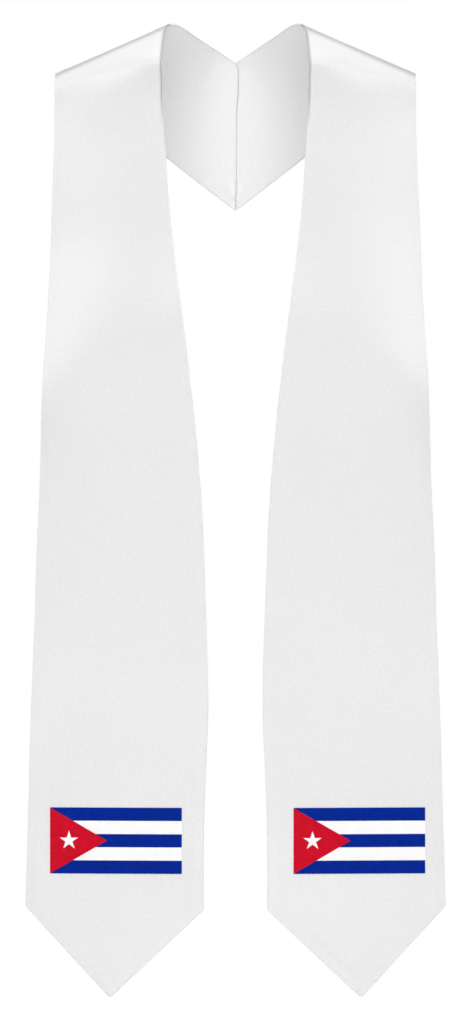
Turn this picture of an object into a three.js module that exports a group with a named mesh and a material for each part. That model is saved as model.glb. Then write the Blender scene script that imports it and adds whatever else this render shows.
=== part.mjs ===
// A V-neck stole with an embroidered flag on each end, in the shape it takes when it is worn.
// It is made of two mirrored halves. Each half is one long cloth strip with a lining sewn inside it. The strip
// starts at a pointed end at the wearer's thigh, narrows on its way up the front, rolls over the shoulder and runs
// down and inwards behind the neck, where the two halves are sewn together along one upright seam.
// Millimetres, X to the right, Y backwards, Z up. The origin lies midway between the two shoulders, at the height
// where the cloth rolls over them.
import * as THREE from "three";

// Widths and spacing of the two strips
const hem_width = 139.7; // across each end, from corner to corner
const shoulder_width = 89; // across each strip where it rolls over the shoulder, measured level
const shoulder_spacing = 199.4; // between the middles of the strips on the shoulders
const hem_spacing = 189.4; // between the middles of the strips at the hems
const inward_sway = 7; // how far the strips swing inwards on the way down

// Heights and depths of the front
const drop = 680; // from the shoulder roll down to the hem corners
const hem_tilt = 1; // degrees by which each hem runs down towards the middle
const point_length = 70.5; // from the hem corners down to the tip
const tip_offset = 3.6; // how far the tip lies outwards of the middle of its hem
const shoulder_slope = 23.4; // degrees
const chest_depth = 85; // how far the hanging strips are in front of the shoulder roll
const hang_sweep = 3; // degrees by which a hanging strip faces outwards
const chest_crown = 4; // how far the middle of a strip stands out on the chest

// The back
const neck_depth = 60; // from the shoulder roll back to the neck edge at the seam
const back_depth = 90; // from the shoulder roll back to the lower end of the seam
const seam_top = -2.8; // height of the neck edge at the seam
const seam_height = 119; // from the neck edge down to the point of the back
const back_crown = 4; // how far the middle of a strip stands out on the back

// Cloth
const cloth = 1;
const lining = 1;
const lining_inset = 1.2; // the lining stops this far inside the edge of the cloth
const gap = 0.3; // between any two pieces that touch

// Embroidery
const flag_height = 51.6;
const flag_length = 103.2;
const flag_rise = 52.7; // from the hem corners up to the middle of a flag
const left_flag_offset = 1.2; // from the middle of the hem to the middle of the flag, to the right
const right_flag_offset = 2.1;
const stripes = 5;
const star_radius = 7.6;
const thread_height = 0.8; // how far the embroidery stands out from the cloth

// Fineness of the facets
const rows_per_station = 2;
const columns = 8;

// The front from the shoulder roll to the hem. Each length is a share of a size above: down of drop, wide of the
// way from shoulder_width to hem_width, sway of inward_sway, forward of chest_depth, crown of chest_crown. turn
// multiplies the slope of hang_sweep.
const front_stations = [
  { down: 0, wide: 0, sway: 0, forward: 0, turn: 0, crown: 0 },
  { down: 0.004, wide: -0.01, sway: -0.04, forward: 0.127, turn: 0.97, crown: 0 },
  { down: 0.016, wide: -0.03, sway: -0.1, forward: 0.304, turn: 2.36, crown: 0.05 },
  { down: 0.035, wide: -0.04, sway: -0.18, forward: 0.508, turn: 4.25, crown: 0.15 },
  { down: 0.075, wide: -0.05, sway: -0.27, forward: 0.551, turn: 3.9, crown: 0.35 },
  { down: 0.15, wide: 0.025, sway: -0.24, forward: 0.595, turn: 3.1, crown: 0.6 },
  { down: 0.22, wide: 0.12, sway: -0.1, forward: 0.664, turn: 2.5, crown: 0.85 },
  { down: 0.29, wide: 0.26, sway: 0.15, forward: 0.79, turn: 2.1, crown: 1 },
  { down: 0.36, wide: 0.43, sway: 0.42, forward: 0.92, turn: 1.75, crown: 0.85 },
  { down: 0.43, wide: 0.58, sway: 0.66, forward: 0.986, turn: 1.4, crown: 0.5 },
  { down: 0.5, wide: 0.7, sway: 0.86, forward: 1, turn: 1.2, crown: 0.2 },
  { down: 0.57, wide: 0.81, sway: 0.9, forward: 1, turn: 1.1, crown: 0 },
  { down: 0.65, wide: 0.88, sway: 0.88, forward: 1, turn: 1, crown: 0 },
  { down: 0.78, wide: 0.99, sway: 0.7, forward: 1, turn: 1, crown: 0 },
  { down: 0.88, wide: 0.97, sway: 0.31, forward: 1, turn: 1, crown: 0 },
  { down: 1, wide: 1, sway: 0, forward: 1, turn: 1, crown: 0 },
];

// The back from the shoulder roll to the seam. inner_x and outer_x are shares of where each edge starts on the
// shoulder, inner_y of neck_depth, outer_y of back_depth, and inner_z and outer_z of the way that the edge has
// still to go down, or has gone down, to its end of the seam. crown is a share of back_crown.
const back_stations = [
  { inner_x: 0.945, inner_y: 0.1, inner_z: 1.115, outer_x: 0.968, outer_y: 0.12, outer_z: 0.012, crown: 0 },
  { inner_x: 0.86, inner_y: 0.25, inner_z: 1.16, outer_x: 0.905, outer_y: 0.26, outer_z: 0.075, crown: 0.1 },
  { inner_x: 0.65, inner_y: 0.6, inner_z: 0.96, outer_x: 0.69, outer_y: 0.52, outer_z: 0.28, crown: 0.5 },
  { inner_x: 0.36, inner_y: 0.87, inner_z: 0.56, outer_x: 0.36, outer_y: 0.8, outer_z: 0.625, crown: 0.9 },
  { inner_x: 0, inner_y: 1, inner_z: 0, outer_x: 0, outer_y: 1, outer_z: 1, crown: 1 },
];

const degrees = THREE.MathUtils.degToRad;
const mix = THREE.MathUtils.lerp;
const sweep_slope = Math.tan(degrees(hang_sweep));
const roll_rise = (Math.tan(degrees(shoulder_slope)) * shoulder_width) / 2;
const hem_fall = (Math.sin(degrees(hem_tilt)) * hem_width) / 2;

// One cross-section of a strip: its neck-side edge, its middle and its outer edge, for the half on the +X side.
function frontSection(station) {
  const { down, wide, sway, forward, turn, crown } = station;
  const middle_x = mix(shoulder_spacing, hem_spacing, down) / 2 - sway * inward_sway;
  const half_width = mix(shoulder_width, hem_width, wide) / 2;
  const place = (outward) => {
    const x = middle_x + outward * half_width;
    const y = x * turn * sweep_slope - forward * chest_depth;
    const z = mix(-outward * roll_rise, outward * hem_fall - drop, down);
    return new THREE.Vector3(x, y, z);
  };
  const middle = place(0);
  middle.y -= crown * chest_crown;
  return [place(-1), middle, place(1)];
}

function backSection(station) {
  const roll = front_stations[0];
  const [roll_inner, , roll_outer] = frontSection(roll);
  const inner = new THREE.Vector3(
    mix(gap / 2, roll_inner.x, station.inner_x),
    station.inner_y * neck_depth,
    mix(seam_top, roll_inner.z, station.inner_z),
  );
  const outer = new THREE.Vector3(
    mix(gap / 2, roll_outer.x, station.outer_x),
    station.outer_y * back_depth,
    mix(roll_outer.z, seam_top - seam_height, station.outer_z),
  );
  const middle = inner.clone().lerp(outer, 0.5);
  middle.y += station.crown * back_crown;
  return [inner, middle, outer];
}

// The strip as a smooth surface. along runs from 0 at the hem to 1 at the back seam, and across from 0 at the
// neck-side edge to 1 at the outer edge.
const sections = [...front_stations.map(frontSection).reverse(), ...back_stations.map(backSection)];
const edge_curves = [0, 1, 2].map((edge) => new THREE.CatmullRomCurve3(sections.map((section) => section[edge])));

function surfacePoint(along, across) {
  const [inner, middle, outer] = edge_curves.map((curve) => curve.getPoint(along));
  return inner
    .multiplyScalar((1 - across) * (1 - 2 * across))
    .addScaledVector(middle, 4 * across * (1 - across))
    .addScaledVector(outer, across * (2 * across - 1));
}

// The direction that points away from the wearer.
function surfaceNormal(along, across) {
  const step = 1e-3;
  const low = Math.max(along - step, 0);
  const high = Math.min(along + step, 1);
  const upwards = surfacePoint(high, across).sub(surfacePoint(low, across));
  const outwards = surfacePoint(along, across + step).sub(surfacePoint(along, across - step));
  return outwards.cross(upwards).normalize();
}

const hem_middle = surfacePoint(0, 0.5);
const hem_normal = surfaceNormal(0, 0.5);
const tip = new THREE.Vector3(
  hem_middle.x + tip_offset,
  hem_middle.y + tip_offset * sweep_slope,
  hem_middle.z - point_length,
);

// The direction in which a sheet has its thickness. At the back seam it stays in the upright plane of the seam, so
// that the sheets of the two halves meet there along their whole thickness.
function thicknessDirection(along, across) {
  const normal = surfaceNormal(along, across);
  return along < 1 ? normal : normal.setX(0).normalize();
}

// A closed sheet that follows the strip between two heights above its surface. Its first vertex pair is the tip,
// and every later pair belongs to one row and column of the grid.
function stripSheet(low, high, inset) {
  const row_count = (sections.length - 1) * rows_per_station;
  const positions = [];
  const addPair = (point, normal) => {
    for (const height of [high, low]) positions.push(...point.clone().addScaledVector(normal, height));
  };
  addPair(tip.clone().lerp(hem_middle, (2 * inset) / point_length), hem_normal);
  for (let row = 0; row <= row_count; row += 1) {
    const along = row / row_count;
    const width = surfacePoint(along, 0).distanceTo(surfacePoint(along, 1));
    for (let column = 0; column <= columns; column += 1) {
      const across = mix(inset / width, 1 - inset / width, column / columns);
      addPair(surfacePoint(along, across), thicknessDirection(along, across));
    }
  }

  const top = (row, column) => 2 * (1 + row * (columns + 1) + column);
  const faces = [];
  const addWall = (from, to) => faces.push([from, from + 1, to + 1], [from, to + 1, to]);
  const addFace = (a, b, c) => faces.push([a, b, c], [c + 1, b + 1, a + 1]);
  for (let column = 0; column < columns; column += 1) {
    addFace(0, top(0, column + 1), top(0, column));
    for (let row = 0; row < row_count; row += 1) {
      const [a, b] = [top(row, column), top(row, column + 1)];
      const [c, d] = [top(row + 1, column + 1), top(row + 1, column)];
      addFace(a, b, c);
      addFace(a, c, d);
    }
    addWall(top(row_count, column + 1), top(row_count, column));
  }
  for (let row = 0; row < row_count; row += 1) {
    addWall(top(row + 1, 0), top(row, 0));
    addWall(top(row, columns), top(row + 1, columns));
  }
  addWall(top(0, 0), 0);
  addWall(0, top(0, columns));
  return new THREE.BufferGeometry()
    .setAttribute("position", new THREE.Float32BufferAttribute(positions, 3))
    .setIndex(faces.flat());
}

// The flag, drawn flat round its own middle with the hoist on the left.
const hoist = -flag_length / 2;
const fly = flag_length / 2;
const triangle_length = (flag_height * Math.sqrt(3)) / 2;
const triangle_slope = triangle_length / (flag_height / 2);
const slanted_gap = 2 * gap; // a gap across an edge at 30 degrees, measured level

const outline = (points) => new THREE.Shape(points.map(([x, y]) => new THREE.Vector2(x, y)));

function starPoints(radius) {
  const notch_radius = radius * (Math.sin(degrees(18)) / Math.sin(degrees(126)));
  const middle_x = hoist + triangle_length / 3;
  return Array.from({ length: 10 }, (_, i) => {
    const reach = i % 2 ? notch_radius : radius;
    const angle = degrees(90 + 36 * i);
    return [middle_x + reach * Math.cos(angle), reach * Math.sin(angle)];
  });
}

function stripeShape(index) {
  const pitch = (flag_height + gap) / stripes;
  const upper = flag_height / 2 - index * pitch;
  const lower = upper - pitch + gap;
  const triangleEdge = (y) => hoist + (flag_height / 2 - Math.abs(y)) * triangle_slope + slanted_gap;
  const points = [[triangleEdge(lower), lower], [fly, lower], [fly, upper], [triangleEdge(upper), upper]];
  if (lower < 0 && upper > 0) points.push([triangleEdge(0), 0]);
  return outline(points);
}

function triangleShape() {
  const shape = outline([[hoist, -flag_height / 2], [hoist + triangle_length, 0], [hoist, flag_height / 2]]);
  const hole_radius = star_radius + gap / Math.sin(degrees(18));
  shape.holes.push(outline(starPoints(hole_radius)));
  return shape;
}

// Finishes
const finish = (color, roughness) => new THREE.MeshStandardMaterial({ color, roughness, metalness: 0 });
const white_satin = finish(0xf1f1f2, 0.38);
const white_lining = finish(0xeeeeef, 0.42);
const blue_thread = finish(0x002a8f, 0.45);
const white_thread = finish(0xffffff, 0.45);
const red_thread = finish(0xcf142b, 0.45);

function namedMesh(name, geometry, material) {
  const mesh = new THREE.Mesh(geometry, material);
  mesh.name = name;
  return mesh;
}

function strip(side_name, side) {
  const group = new THREE.Group();
  group.scale.x = side;
  group.add(
    namedMesh(`${side_name}_strip`, stripSheet(gap / 2, gap / 2 + cloth, 0), white_satin),
    namedMesh(`${side_name}_lining`, stripSheet(-gap / 2 - lining, -gap / 2, lining_inset), white_lining),
  );
  return group;
}

function flag(side_name, side, offset) {
  const stitched = (part, shape, material) => {
    const geometry = new THREE.ExtrudeGeometry(shape, { depth: thread_height, bevelEnabled: false });
    return namedMesh(`${side_name}_flag_${part}`, geometry, material);
  };
  const group = new THREE.Group();
  const stripe_names = ["top_stripe", "upper_stripe", "middle_stripe", "lower_stripe", "bottom_stripe"];
  for (let i = 0; i < stripes; i += 1) {
    const name = stripe_names[i] ?? `stripe_${i + 1}`;
    group.add(stitched(name, stripeShape(i), i % 2 ? white_thread : blue_thread));
  }
  group.add(stitched("triangle", triangleShape(), red_thread));
  group.add(stitched("star", outline(starPoints(star_radius)), white_thread));

  // The cloth there is flat, so the flag lies in a plane that is turned with it.
  const outward = hem_middle.x + side * offset;
  const on_cloth = new THREE.Vector3(side * outward, outward * sweep_slope - chest_depth, flag_rise - drop);
  const cloth_face = new THREE.Vector3(side * hem_normal.x, hem_normal.y, hem_normal.z);
  group.position.copy(on_cloth.addScaledVector(cloth_face, gap / 2 + cloth + gap));
  group.rotation.set(Math.PI / 2, 0, side * degrees(hang_sweep), "ZYX");
  return group;
}

const stole = new THREE.Group();
stole.add(strip("left", -1), strip("right", 1));
stole.add(flag("left", -1, left_flag_offset), flag("right", 1, right_flag_offset));

export default stole;
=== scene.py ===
# %% [markdown]
# # An embroidered satin stole
#
# The object is a white satin stole in the shape it takes when it is worn. Two long strips hang down the
# front, roll over the shoulders and meet behind the neck in one upright seam. Each pointed end carries
# an embroidered flag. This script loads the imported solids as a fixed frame. It then rebuilds every soft
# piece as a fine mesh in the same place, gives it a finish, and sets up the light and the camera.

# %% Load the frame
import math
from collections import namedtuple

import bpy
import numpy as np
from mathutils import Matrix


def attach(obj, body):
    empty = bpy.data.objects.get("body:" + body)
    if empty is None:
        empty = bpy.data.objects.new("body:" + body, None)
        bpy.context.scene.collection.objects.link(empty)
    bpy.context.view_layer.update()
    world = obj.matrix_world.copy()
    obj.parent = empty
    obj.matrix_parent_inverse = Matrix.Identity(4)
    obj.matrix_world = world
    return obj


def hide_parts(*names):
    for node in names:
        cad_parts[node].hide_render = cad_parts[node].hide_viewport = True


scene = bpy.context.scene
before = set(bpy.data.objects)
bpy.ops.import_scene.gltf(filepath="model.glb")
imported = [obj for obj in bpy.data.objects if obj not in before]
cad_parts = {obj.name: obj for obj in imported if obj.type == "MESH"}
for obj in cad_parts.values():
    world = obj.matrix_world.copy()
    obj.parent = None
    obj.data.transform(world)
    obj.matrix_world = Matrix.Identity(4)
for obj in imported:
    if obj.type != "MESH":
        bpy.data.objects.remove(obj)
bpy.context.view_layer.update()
print("nodes in the frame:", len(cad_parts))

# %% [markdown]
# ## The sizes
#
# A maker of stoles would note down a few sizes only: how wide the strip is, how far it drops, how the
# shoulders slope. All lengths are metres. X runs to the viewer's right, Y backwards and Z up, and the
# origin lies midway between the shoulders at the height of the roll.

# %% Name the sizes
HEM_WIDTH = 0.1397
SHOULDER_WIDTH = 0.089
SHOULDER_SPACING = 0.1994
HEM_SPACING = 0.1894
INWARD_SWAY = 0.007
DROP = 0.680
HEM_TILT = math.radians(1)
POINT_LENGTH = 0.0705
TIP_OFFSET = 0.0036
SHOULDER_SLOPE = math.radians(23.4)
CHEST_DEPTH = 0.085
HANG_SWEEP = math.radians(3)
CHEST_CROWN = 0.004
NECK_DEPTH = 0.060
BACK_DEPTH = 0.090
SEAM_TOP = -0.0028
SEAM_HEIGHT = 0.119
BACK_CROWN = 0.004
SEAM_GAP = 0.0003

SWEEP_SLOPE = math.tan(HANG_SWEEP)
ROLL_RISE = math.tan(SHOULDER_SLOPE) * SHOULDER_WIDTH / 2
HEM_FALL = math.sin(HEM_TILT) * HEM_WIDTH / 2
print(f"the corners of the ends hang {DROP * 1000:.0f} mm below the shoulders")

# %% [markdown]
# ## The form of a strip
#
# Cloth that hangs has no corners, so its form is drawn the way a boat's hull is: a few cross-sections,
# and a smooth skin through them. Each row below is one cross-section, and its columns are shares of the
# sizes above. The front sections run from the shoulder down to the hem, and the back ones from the
# shoulder to the seam.

# %% List the cross-sections
FrontSection = namedtuple("FrontSection", "down wide sway forward turn crown")
BackSection = namedtuple("BackSection", "inner_x inner_y inner_z outer_x outer_y outer_z crown")

FRONT_ROWS = [
    (0.0, 0.0, 0.0, 0.0, 0.0, 0.0),
    (0.004, -0.01, -0.04, 0.127, 0.97, 0.0),
    (0.016, -0.03, -0.1, 0.304, 2.36, 0.05),
    (0.035, -0.04, -0.18, 0.508, 4.25, 0.15),
    (0.075, -0.05, -0.27, 0.551, 3.9, 0.35),
    (0.15, 0.025, -0.24, 0.595, 3.1, 0.6),
    (0.22, 0.12, -0.1, 0.664, 2.5, 0.85),
    (0.29, 0.26, 0.15, 0.79, 2.1, 1.0),
    (0.36, 0.43, 0.42, 0.92, 1.75, 0.85),
    (0.43, 0.58, 0.66, 0.986, 1.4, 0.5),
    (0.5, 0.7, 0.86, 1.0, 1.2, 0.2),
    (0.57, 0.81, 0.9, 1.0, 1.1, 0.0),
    (0.65, 0.88, 0.88, 1.0, 1.0, 0.0),
    (0.78, 0.99, 0.7, 1.0, 1.0, 0.0),
    (0.88, 0.97, 0.31, 1.0, 1.0, 0.0),
    (1.0, 1.0, 0.0, 1.0, 1.0, 0.0),
]
BACK_ROWS = [
    (0.945, 0.1, 1.115, 0.968, 0.12, 0.012, 0.0),
    (0.86, 0.25, 1.16, 0.905, 0.26, 0.075, 0.1),
    (0.65, 0.6, 0.96, 0.69, 0.52, 0.28, 0.5),
    (0.36, 0.87, 0.56, 0.36, 0.8, 0.625, 0.9),
    (0.0, 1.0, 0.0, 0.0, 1.0, 1.0, 1.0),
]
FRONT_SECTIONS = [FrontSection(*row) for row in FRONT_ROWS]
BACK_SECTIONS = [BackSection(*row) for row in BACK_ROWS]
print("cross-sections:", len(FRONT_SECTIONS) + len(BACK_SECTIONS))


# %% Turn each cross-section into three points
def mix(start, end, share):
    return start + (end - start) * share


def front_points(section):
    middle_x = mix(SHOULDER_SPACING, HEM_SPACING, section.down) / 2 - section.sway * INWARD_SWAY
    half_width = mix(SHOULDER_WIDTH, HEM_WIDTH, section.wide) / 2
    points = []
    for outward in (-1, 0, 1):
        x = middle_x + outward * half_width
        y = x * section.turn * SWEEP_SLOPE - section.forward * CHEST_DEPTH
        z = mix(-outward * ROLL_RISE, outward * HEM_FALL - DROP, section.down)
        points.append([x, y, z])
    points[1][1] -= section.crown * CHEST_CROWN
    return points


def back_points(section):
    roll_inner, _, roll_outer = front_points(FRONT_SECTIONS[0])
    inner = [
        mix(SEAM_GAP / 2, roll_inner[0], section.inner_x),
        section.inner_y * NECK_DEPTH,
        mix(SEAM_TOP, roll_inner[2], section.inner_z),
    ]
    outer = [
        mix(SEAM_GAP / 2, roll_outer[0], section.outer_x),
        section.outer_y * BACK_DEPTH,
        mix(roll_outer[2], SEAM_TOP - SEAM_HEIGHT, section.outer_z),
    ]
    middle = [(a + b) / 2 for a, b in zip(inner, outer)]
    middle[1] += section.crown * BACK_CROWN
    return [inner, middle, outer]


section_points = [front_points(section) for section in reversed(FRONT_SECTIONS)]
section_points += [back_points(section) for section in BACK_SECTIONS]
section_points = np.array(section_points)
print("points of the sections:", section_points.shape)

# %% [markdown]
# ## A smooth skin through the sections
#
# A satin surface shows every kink in its reflections. A cubic spline bends like a springy ruler, so its
# curvature changes without a jump, and the highlights stay calm. Subdivision would be smooth too, but it
# pulls the cloth away from its edges.


# %% Run a springy ruler through the sections
def ruler_bends(knots, values):
    """The second derivatives of the natural cubic spline at its knots."""
    step = np.diff(knots)
    slope = np.diff(values, axis=0) / step[:, None]
    count = len(knots)
    system = np.eye(count)
    change = np.zeros_like(values)
    for i in range(1, count - 1):
        system[i, i - 1 : i + 2] = step[i - 1], 2 * (step[i - 1] + step[i]), step[i]
        change[i] = 6 * (slope[i] - slope[i - 1])
    return np.linalg.solve(system, change)


def ruler_at(knots, values, bends, where):
    i = np.clip(np.searchsorted(knots, where) - 1, 0, len(knots) - 2)
    step = (knots[i + 1] - knots[i])[:, None]
    ahead = (knots[i + 1] - where)[:, None] / step
    behind = 1 - ahead
    bend = (ahead**3 - ahead) * bends[i] + (behind**3 - behind) * bends[i + 1]
    return ahead * values[i] + behind * values[i + 1] + bend * step**2 / 6


section_steps = np.linalg.norm(np.diff(section_points[:, 1], axis=0), axis=1)
section_along = np.concatenate([[0.0], np.cumsum(section_steps)])
section_values = section_points.reshape(len(section_points), 9)
section_bends = ruler_bends(section_along, section_values)
STRIP_LENGTH = section_along[-1]
print(f"from hem to seam along the middle: {STRIP_LENGTH * 1000:.0f} mm")


# %% Find any point of a strip
PROBE_UP = 0.0001
PROBE_ACROSS = 0.01
PROBE_LOWEST = -0.9 * POINT_LENGTH
PROBE_SHORTEST = 0.00001

hem_row = section_points[0]
tip_point = hem_row[1] + np.array([TIP_OFFSET, TIP_OFFSET * SWEEP_SLOPE, -POINT_LENGTH])


def strip_point(along, across):
    """Points of the right strip. along is the way up from the hem, negative in the pointed end,
    and across runs from 0 at the neck side to 1 at the outer side."""
    rows = ruler_at(section_along, section_values, section_bends, np.maximum(along, 0))
    rows = rows.reshape(-1, 3, 3)
    across = across[:, None]
    inner = rows[:, 0] * (1 - across) * (1 - 2 * across)
    middle = rows[:, 1] * 4 * across * (1 - across)
    outer = rows[:, 2] * across * (2 * across - 1)
    share = np.clip(-along / POINT_LENGTH, 0, 1)[:, None]
    return mix(inner + middle + outer, tip_point, share)


def strip_width(along):
    zeros = np.zeros_like(along)
    return np.linalg.norm(strip_point(along, zeros + 1) - strip_point(along, zeros), axis=1)


def strip_normal(along, across):
    """The direction away from the wearer, from small steps up and across."""
    low = np.clip(along - PROBE_UP, PROBE_LOWEST, STRIP_LENGTH - 2 * PROBE_UP)
    upwards = strip_point(low + 2 * PROBE_UP, across) - strip_point(low, across)
    outwards = strip_point(along, across + PROBE_ACROSS) - strip_point(along, across - PROBE_ACROSS)
    flat = np.linalg.norm(outwards, axis=1) < PROBE_SHORTEST
    outwards[flat] = [1, SWEEP_SLOPE, 0]
    normal = np.cross(outwards, upwards)
    return normal / np.linalg.norm(normal, axis=1)[:, None]


hem_width, seam_width = strip_width(np.array([0.0, STRIP_LENGTH]))
print(f"wide at the hem: {hem_width * 1000:.1f} mm, at the seam: {seam_width * 1000:.1f} mm")

# %% [markdown]
# ## How the cloth gives
#
# No hanging cloth is as smooth as a spline. It has long soft waves, a few swells and dents over the
# body, a ridge where it is pulled below each shoulder, another where the seam allowance ends under
# the pressed edge, and puckers along the centre seam. A cloth simulation would put such forms where
# it likes. Here each is a small height above the smooth skin, and all are added up. The swells and
# ridges stand where the photo shows them. The waves are left to chance, with fixed seeds, so every
# run gives the same cloth.

# %% Describe the swells and dents of the front
Dent = namedtuple("Dent", "along across length width height lean")
DENTS = {
    "right": [
        Dent(0.450, -0.40, 0.038, 0.022, 0.0040, 0.1),
        Dent(0.360, -0.36, 0.040, 0.016, 0.0012, 0.1),
        Dent(0.400, 0.28, 0.044, 0.042, 0.0036, -0.15),
        Dent(0.120, 0.32, 0.040, 0.035, -0.0010, 0.3),
        Dent(0.300, 0.25, 0.110, 0.030, 0.0006, 0.1),
        Dent(0.210, -0.30, 0.080, 0.028, -0.0006, -0.1),
    ],
    "left": [
        Dent(0.445, -0.40, 0.040, 0.022, 0.0038, -0.1),
        Dent(0.395, 0.28, 0.046, 0.042, 0.0036, 0.15),
        Dent(0.130, 0.36, 0.045, 0.030, -0.0009, -0.2),
        Dent(0.270, 0.20, 0.090, 0.034, 0.0006, -0.15),
        Dent(0.190, -0.28, 0.085, 0.026, -0.0006, 0.1),
    ],
}
SEEDS = {"left": 11, "right": 23}
print("swells and dents:", {side: len(rows) for side, rows in DENTS.items()})


# %% Shape the waves and the dents
WAVE_COUNT = 9
SHORTEST_WAVE = 0.07
LONGEST_WAVE = 0.32
WAVE_LEAN = 0.6
WAVE_HEIGHT = 0.0007


def soft_waves(along, aside, seed):
    chance = np.random.default_rng(seed)
    total = np.zeros_like(along)
    for _ in range(WAVE_COUNT):
        length = chance.uniform(SHORTEST_WAVE, LONGEST_WAVE)
        lean = chance.uniform(-WAVE_LEAN, WAVE_LEAN)
        phase = chance.uniform(0, 2 * math.pi)
        wave = np.sin(2 * math.pi * (along + lean * aside) / length + phase)
        total += wave * length / LONGEST_WAVE
    return total * WAVE_HEIGHT / math.sqrt(WAVE_COUNT)


def soft_dents(along, aside, side):
    total = np.zeros_like(along)
    for dent in DENTS[side]:
        up = along - dent.along
        over = aside - dent.across * HEM_WIDTH - dent.lean * up
        total += dent.height * np.exp(-((up / dent.length) ** 2) - (over / dent.width) ** 2)
    return total


dent_heights = [dent.height for rows in DENTS.values() for dent in rows]
print(f"from {min(dent_heights) * 1000:.1f} to {max(dent_heights) * 1000:.1f} mm above the skin")

# %% Shape the pulled fold and the edge's ridge
PULL_PLACES = [0.058, 0.0676, 0.0834, 0.0992, 0.115, 0.1418]
PULL_HEIGHTS = [-0.0157, -0.0133, -0.0125, -0.0181, -0.0236, -0.0262]
PULL_RIDGE = 0.0035
PULL_REACH = 0.014
PULL_TIP = 0.0012
PULL_START = 0.012
ALLOWANCE = 0.0075
ALLOWANCE_SPREAD = 0.0022
ALLOWANCE_RIDGE = 0.00014


def pull_fold(base):
    """The soft ridge where the cloth is pulled from the outer end of the shoulder towards the neck."""
    below = np.interp(base[:, 0], PULL_PLACES, PULL_HEIGHTS) - base[:, 2]
    ridge = PULL_RIDGE * np.exp(-(np.sqrt(below**2 + PULL_TIP**2) - PULL_TIP) / PULL_REACH)
    return np.where(base[:, 1] < 0, ridge * np.clip(-base[:, 1] / PULL_START, 0, 1), 0)


def allowance_ridge(edge_distance):
    return ALLOWANCE_RIDGE * np.exp(-(((edge_distance - ALLOWANCE) / ALLOWANCE_SPREAD) ** 2))


print(f"the pulled fold rises {PULL_RIDGE * 1000:.1f} mm, the ridge {ALLOWANCE_RIDGE * 1000:.2f} mm")

# %% Shape the puckers and add everything up
PUCKER_LENGTHS = (0.0053, 0.0081, 0.0124)
PUCKER_LEAN = 0.5
PUCKER_REACH = 0.007
PUCKER_HEIGHT = 0.00036
PUCKER_EVERYWHERE = 0.25
PUCKER_LOW_END = 0.9
LOW_END_HEIGHT = SEAM_TOP - 0.90 * SEAM_HEIGHT
LOW_END_SPREAD = 0.012
GATHER_PLACE = (0.0052, -0.1065)
GATHER_SIZE = (0.0030, 0.0055)
GATHER_LEAN = 0.35
GATHER_HEIGHT = 0.0011
CALM_LENGTH = 0.05


def seam_puckers(seam_distance, height, side):
    """Small waves that run away from the centre back seam, strongest near its lower end."""
    chance = np.random.default_rng(SEEDS[side] + 1)
    reach = np.exp(-np.maximum(seam_distance, 0) / PUCKER_REACH)
    low_end = np.exp(-(((height - LOW_END_HEIGHT) / LOW_END_SPREAD) ** 2))
    total = np.zeros_like(height)
    for length in PUCKER_LENGTHS:
        phase = chance.uniform(0, 2 * math.pi)
        total += np.sin(2 * math.pi * (height + PUCKER_LEAN * seam_distance) / length + phase)
    total *= reach * PUCKER_HEIGHT * (PUCKER_EVERYWHERE + PUCKER_LOW_END * low_end)
    above = height - GATHER_PLACE[1]
    beside = (seam_distance - GATHER_PLACE[0] - GATHER_LEAN * above) / GATHER_SIZE[0]
    gather = np.exp(-(beside**2) - (above / GATHER_SIZE[1]) ** 2)
    return total + GATHER_HEIGHT * gather


def cloth_relief(along, across, width, edge_distance, base, side):
    """All heights together. The waves and dents calm down towards the seam."""
    aside = (across - 0.5) * width
    relief = soft_waves(along, aside, SEEDS[side]) + soft_dents(along, aside, side)
    relief *= np.clip((STRIP_LENGTH - along) / CALM_LENGTH, 0, 1)
    relief += allowance_ridge(edge_distance) + pull_fold(base)
    behind = base[:, 1] > NECK_DEPTH / 3
    relief += np.where(behind, seam_puckers(base[:, 0], base[:, 2], side), 0)
    return relief


print(f"the puckers rise up to {len(PUCKER_LENGTHS) * PUCKER_HEIGHT * 1000:.1f} mm")

# %% [markdown]
# ## Painted shade at the shoulder fold and the neck edge
#
# Painted shade darkens the colour in two places: a dark line along the fold over each shoulder and a
# thinner one along the turned edge beside the neck. Every point of the cloth carries a value for it,
# which the material reads later. So the line belongs to the cloth and stays in place, whatever side the
# stole is seen from.

# %% Say where shade is painted on the cloth
ROLL_PLACE = section_along[len(FRONT_SECTIONS) - 1]
FOLD_SHADE_REACH = 0.0092
FOLD_SHADE_REACH_BEHIND = 0.0035
NECK_SHADE_WIDTH = 0.0015
NECK_SHADE_LOW = 0.092
NECK_SHADE_FADE = 0.024
NECK_SHADE_STRENGTH = 0.78
OUTER_FOLD_SHADE = 0.70


def painted_fold_shade(along, across, width):
    # Painted shade: darkest along the roll over the shoulder and weaker towards its outer end, plus a
    # thin band along the neck edge of the front.
    from_roll = along - ROLL_PLACE
    reach = np.where(from_roll > 0, FOLD_SHADE_REACH_BEHIND, FOLD_SHADE_REACH)
    fold = np.exp(-((from_roll / reach) ** 4)) * mix(1, OUTER_FOLD_SHADE, across)
    low_end = np.clip((from_roll + NECK_SHADE_LOW) / NECK_SHADE_FADE, 0, 1)
    beside_neck = np.exp(-((across * width / NECK_SHADE_WIDTH) ** 4))
    neck_edge_shade = beside_neck * low_end * (from_roll < FOLD_SHADE_REACH)
    return np.maximum(fold, NECK_SHADE_STRENGTH * neck_edge_shade)


print(f"the fold over the shoulder lies {ROLL_PLACE * 1000:.0f} mm above the hem")

# %% [markdown]
# ## The drifting seam
#
# The centre seam isn't quite straight: it starts in the notch of the neck edge, wanders two or three
# millimetres to one side and comes back lower down. Both halves follow the same drift, so they stay
# joined.

# %% Let the seam drift near the neck
DRIFT_HEIGHTS = [-0.130, -0.100, -0.060, -0.042, -0.026, -0.008, -0.003]
DRIFT_SHIFTS = [-0.0002, 0.0007, 0.0008, 0.0009, 0.0024, 0.0025, 0.0]
DRIFT_REACH = 0.016


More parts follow.
